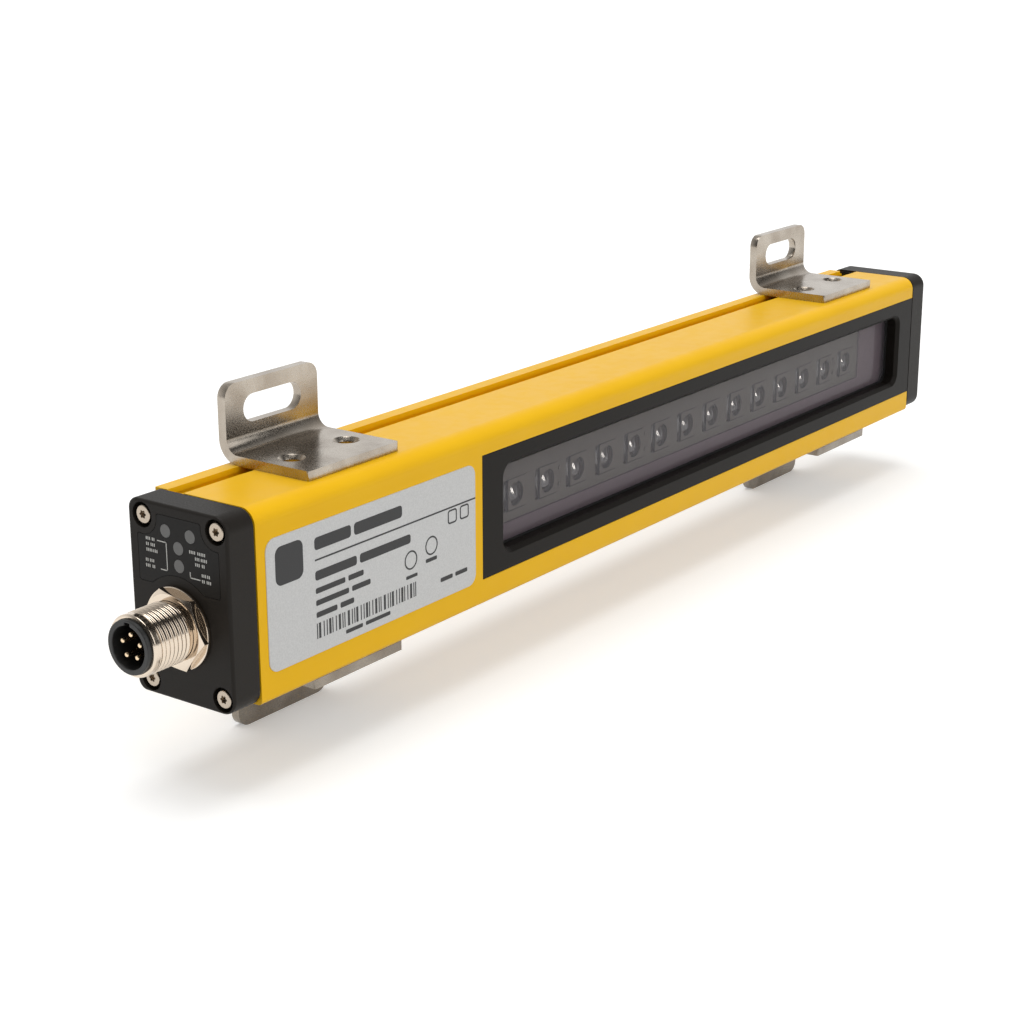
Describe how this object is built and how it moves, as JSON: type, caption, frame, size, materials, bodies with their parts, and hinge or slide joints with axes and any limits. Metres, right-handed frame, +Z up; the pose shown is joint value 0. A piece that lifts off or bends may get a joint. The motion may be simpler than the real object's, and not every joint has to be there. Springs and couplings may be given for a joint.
{
  "type": "safety light curtain",
  "caption": "Slim bar for machine guarding: yellow extruded housing, black caps, smoked optical window, round threaded connector at one end and slotted L brackets above and below.",
  "frame": {"origin": "centre of the four bracket slots, in the plane of the surface behind the bar", "axes": "+X along the bar from the connector cap to the blind cap, -Y the way the window faces, +Z up"},
  "size_m": [0.296, 0.0269, 0.071],
  "materials": {
    "yellow_coated_aluminium": "satin",
    "black_moulding": "satin",
    "black_rubber": "matte",
    "nickel_plating": "polished",
    "stainless_steel": "satin",
    "smoked_pane": "gloss",
    "clear_lens": "gloss",
    "grey_moulding": "satin",
    "circuit_board": "satin",
    "component_black": "matte",
    "gold_contact": "polished",
    "mask_film": "satin",
    "name_plate_film": "satin",
    "status_film": "satin",
    "light_guide": "satin"
  },
  "bodies": {
    "root": {"housing": "yellow_coated_aluminium", "connector_end_cap": "black_moulding", "blind_end_cap": "black_moulding", "near_cap_seal": "black_rubber", "far_cap_seal": "black_rubber", "near_cap_screws": "nickel_plating", "far_cap_screws": "nickel_plating", "window_bezel": "black_moulding", "window_seal": "black_rubber", "window_pane": "smoked_pane", "window_mask": "mask_film", "lens_carrier": "grey_moulding", "collimating_lenses": "clear_lens", "main_board": "circuit_board", "beam_diodes": "component_black", "driver_chips": "component_black", "processor_chip": "component_black", "board_capacitors": "component_black", "board_header": "component_black", "status_board": "circuit_board", "status_diodes": "component_black", "status_light_guide": "light_guide", "status_overlay": "status_film", "name_plate": "name_plate_film", "connector_shell": "nickel_plating", "connector_nut": "nickel_plating", "connector_washer": "nickel_plating", "connector_o_ring": "black_rubber", "connector_insert": "black_moulding", "connector_pins": "gold_contact", "bracket_near_top": "stainless_steel", "runner_near_top": "stainless_steel", "bracket_near_bottom": "stainless_steel", "runner_near_bottom": "stainless_steel", "pad_near_bottom": "black_rubber", "bracket_far_top": "stainless_steel", "runner_far_top": "stainless_steel", "bracket_far_bottom": "stainless_steel", "runner_far_bottom": "stainless_steel", "pad_far_bottom": "black_rubber"}
  },
  "joints": []
}
